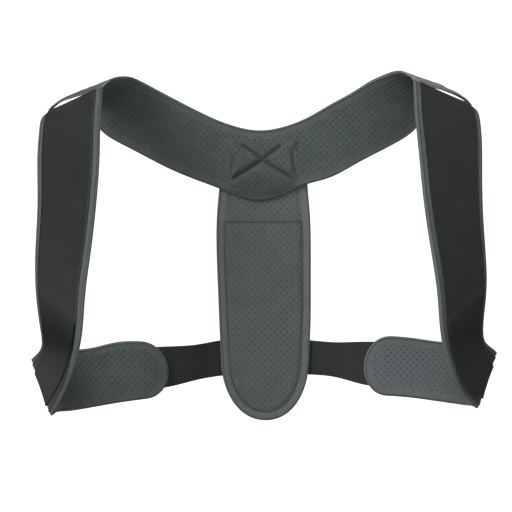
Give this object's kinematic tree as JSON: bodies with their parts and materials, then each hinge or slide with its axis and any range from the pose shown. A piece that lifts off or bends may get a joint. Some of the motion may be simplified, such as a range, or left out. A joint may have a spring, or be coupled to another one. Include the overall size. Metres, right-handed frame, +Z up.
{
  "type": "posture corrector",
  "caption": "Padded posture corrector in its worn shape: neck yoke, shoulder straps that turn under the arms, spine pad and an elastic strap behind.",
  "frame": {"origin": "on the inner face of the neck yoke, at the middle of its stitched centre, where it rests on the wearer's upper back", "axes": "+X to the wearer's left, +Y away from the wearer's back, +Z up; the front straps are on the -Y side"},
  "size_m": [0.415, 0.1967, 0.3295],
  "materials": {
    "grey_padded_cloth": "matte, perforated face over foam",
    "black_outer_cloth": "matte, fine brushed cloth",
    "black_elastic": "matte, ribbed elastic webbing"
  },
  "bodies": {
    "root": {"neck_yoke": "grey_padded_cloth", "spine_pad": "grey_padded_cloth", "shoulder_strap_right": "grey_padded_cloth", "shoulder_strap_left": "grey_padded_cloth", "strap_facing_right": "black_outer_cloth", "strap_facing_left": "black_outer_cloth", "elastic_strap": "black_elastic"}
  },
  "joints": []
}
